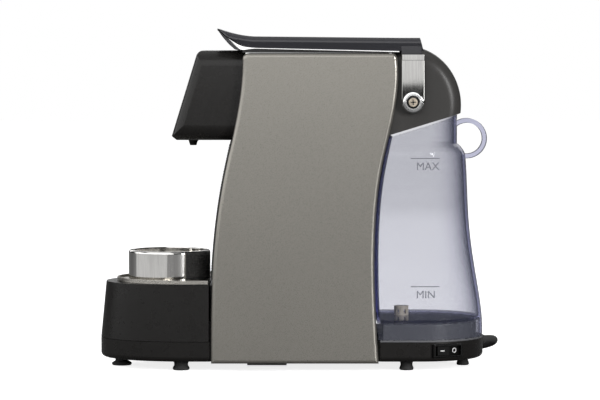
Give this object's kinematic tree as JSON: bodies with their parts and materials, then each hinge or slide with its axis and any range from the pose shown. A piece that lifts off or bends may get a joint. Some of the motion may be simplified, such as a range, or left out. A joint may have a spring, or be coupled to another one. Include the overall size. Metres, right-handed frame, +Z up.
{
  "type": "pod coffee machine",
  "caption": "Slim pod coffee machine: top lever, head with spout over a cup ring and drip tray, S-shaped side panels, clear rear water tank.",
  "frame": {"origin": "middle of the machine's bounding box, on the floor, the mains cord left out", "axes": "+X towards the water tank at the rear, -X towards the cup, +Z up, -Y towards the side with the mains switch"},
  "size_m": [0.3752, 0.2405, 0.313],
  "materials": {
    "base_black": "fine satin moulding",
    "inner_grey": "plain moulding",
    "plinth_grey": "satin moulding",
    "panel_metal": "fine satin",
    "rib_trim": "satin",
    "gloss_black": "high gloss",
    "bright_metal": "polished",
    "brushed_plate": "brushed",
    "steel": "turned and drawn",
    "soft_black": "matte",
    "hose": "milky",
    "gear_nylon": "plain moulding",
    "carriage_plastic": "plain moulding",
    "cast_metal": "cast and pressed",
    "tank_clear": "clear moulding",
    "valve_cream": "plain moulding",
    "board": "laminate",
    "cord_black": "satin vinyl"
  },
  "bodies": {
    "machine": {"base_pan": "base_black", "front_deck": "inner_grey", "rubber_feet": "soft_black", "plinth": "plinth_grey", "port_seal": "soft_black", "core_shell": "inner_grey", "ribbed_front": "rib_trim", "side_panel_near": "panel_metal", "side_panel_far": "panel_metal", "case_screws": "steel", "top_deck": "base_black", "head_housing": "base_black", "head_front": "gloss_black", "button_board": "board", "spout": "base_black", "coffee_duct": "gear_nylon", "brew_chassis": "cast_metal", "extraction_plate": "cast_metal", "axle_bushes": "gear_nylon", "rear_dome": "base_black", "dome_floor": "inner_grey", "pump_body": "valve_cream", "pump_coil": "carriage_plastic", "pump_yoke": "steel", "pump_mounts": "soft_black", "pump_spring": "steel", "flow_meter": "gear_nylon", "supply_hoses": "hose", "heater_block": "cast_metal", "thermostats": "cast_metal", "control_board": "board", "switch_housing": "gloss_black", "strain_relief": "soft_black", "cord_lead": "cord_black", "cord_coil": "cord_black", "cord_tie": "soft_black", "plug": "cord_black"},
    "lever": {"lever_frame": "bright_metal", "lever_cover": "gloss_black", "lever_axle": "steel", "sector_gears": "gear_nylon", "pivot_screws": "steel"},
    "carriage": {"brew_carriage": "carriage_plastic", "carriage_racks": "gear_nylon", "piercing_pins": "steel", "hot_hose": "hose"},
    "tank": {"water_tank": "tank_clear", "tank_valve_body": "valve_cream", "tank_valve_spring": "steel"},
    "poppet": {"tank_poppet": "valve_cream"},
    "drawer": {"drip_tray": "base_black", "pod_bin": "inner_grey"},
    "grid": {"drip_grid": "brushed_plate"},
    "cup_stand": {"cup_ring": "bright_metal", "cup_grid": "brushed_plate"},
    "button_small": {"button_small": "bright_metal"},
    "button_large": {"button_large": "bright_metal"},
    "rocker": {"switch_rocker": "gloss_black"},
    "plunger": {"pump_plunger": "steel"},
    "rotor": {"flow_rotor": "gear_nylon"}
  },
  "joints": [
    {"name": "lever_hinge", "type": "hinge", "parent": "machine", "child": "lever", "pos_m": [0.109, 0, 0.246], "axis": [0, 1, 0], "range_deg": [0, 80]},
    {"name": "carriage_slide", "type": "slide", "parent": "machine", "child": "carriage", "axis": [1, 0, 0], "range_m": [0, 0.0285], "deforming": ["hot_hose"]},
    {"name": "tank_slide", "type": "slide", "parent": "machine", "child": "tank", "axis": [0.9563, 0, 0.2924], "range_m": [0, 0.12]},
    {"name": "poppet_slide", "type": "slide", "parent": "tank", "child": "poppet", "axis": [0, 0, 1], "range_m": [0, 0.002], "stiffness_N_per_m": 60, "deforming": ["tank_valve_spring"]},
    {"name": "drawer_slide", "type": "slide", "parent": "machine", "child": "drawer", "axis": [-1, 0, 0], "range_m": [0, 0.11]},
    {"name": "grid_lift", "type": "slide", "parent": "drawer", "child": "grid", "axis": [0, 0, 1], "range_m": [0, 0.03]},
    {"name": "cup_stand_lift", "type": "slide", "parent": "grid", "child": "cup_stand", "axis": [0, 0, 1], "range_m": [0, 0.05]},
    {"name": "small_cup_press", "type": "slide", "parent": "machine", "child": "button_small", "axis": [0.9558, 0, -0.2941], "range_m": [0, 0.0012], "stiffness_N_per_m": 400},
    {"name": "large_cup_press", "type": "slide", "parent": "machine", "child": "button_large", "axis": [0.9558, 0, -0.2941], "range_m": [0, 0.0012], "stiffness_N_per_m": 400},
    {"name": "mains_rocker", "type": "hinge", "parent": "machine", "child": "rocker", "pos_m": [0.13986, -0.05399, 0.019], "axis": [0, 0, 1], "range_deg": [-14, 0]},
    {"name": "pump_stroke", "type": "slide", "parent": "machine", "child": "plunger", "axis": [0, 0, 1], "range_m": [-0.004, 0.004], "stiffness_N_per_m": 600, "deforming": ["pump_spring"]},
    {"name": "meter_spin", "type": "hinge", "parent": "machine", "child": "rotor", "pos_m": [0.026, 0, 0.034], "axis": [0, 0, 1], "continuous": true}
  ],
  "couplings": [
    {"joint": "carriage_slide", "follows": "lever_hinge", "m_per_rad": 0.02}
  ]
}
